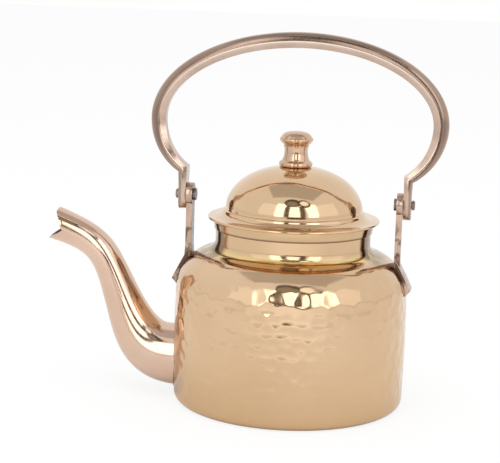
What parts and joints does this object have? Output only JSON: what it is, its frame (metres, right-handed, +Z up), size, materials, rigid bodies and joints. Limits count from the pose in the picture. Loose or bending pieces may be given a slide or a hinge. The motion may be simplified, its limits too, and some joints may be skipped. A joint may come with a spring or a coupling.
{
  "type": "teapot",
  "caption": "Brass teapot of stove-kettle form: hammered drum with a rounded shoulder, curved spout, lift-off domed lid with a knob, and a ridged bail handle that swings on shoulder lugs.",
  "frame": {"origin": "middle of the base, on the drum's axis, where the kettle stands on a table", "axes": "+Z up along the drum's axis, -X towards the spout, the bail upright in the XZ plane"},
  "size_m": [0.2243, 0.13, 0.2086],
  "materials": {
    "hammered_brass": "hand-hammered, polished",
    "polished_brass": "polished",
    "cast_brass": "polished casting",
    "dark_steel": "tarnished"
  },
  "bodies": {
    "pot": {"body_shell": "hammered_brass", "base_plate": "hammered_brass", "mouth_collar": "polished_brass", "spout": "cast_brass", "front_lug": "cast_brass", "rear_lug": "cast_brass", "front_lug_rivets": "cast_brass", "rear_lug_rivets": "cast_brass", "front_pivot_pin": "dark_steel", "rear_pivot_pin": "dark_steel"},
    "bail": {"bail_handle": "cast_brass"},
    "lid": {"lid_shell": "polished_brass", "lid_skirt": "polished_brass", "lid_knob": "polished_brass", "knob_washer": "dark_steel", "knob_screw": "dark_steel"}
  },
  "joints": [
    {"name": "bail_swing", "type": "hinge", "parent": "pot", "child": "bail", "pos_m": [0, 0, 0.1156], "axis": [1, 0, 0], "range_deg": [-126, 126]},
    {"name": "lid_lift", "type": "slide", "parent": "pot", "child": "lid", "axis": [0, 0, 1], "range_m": [0, 0.04]}
  ]
}
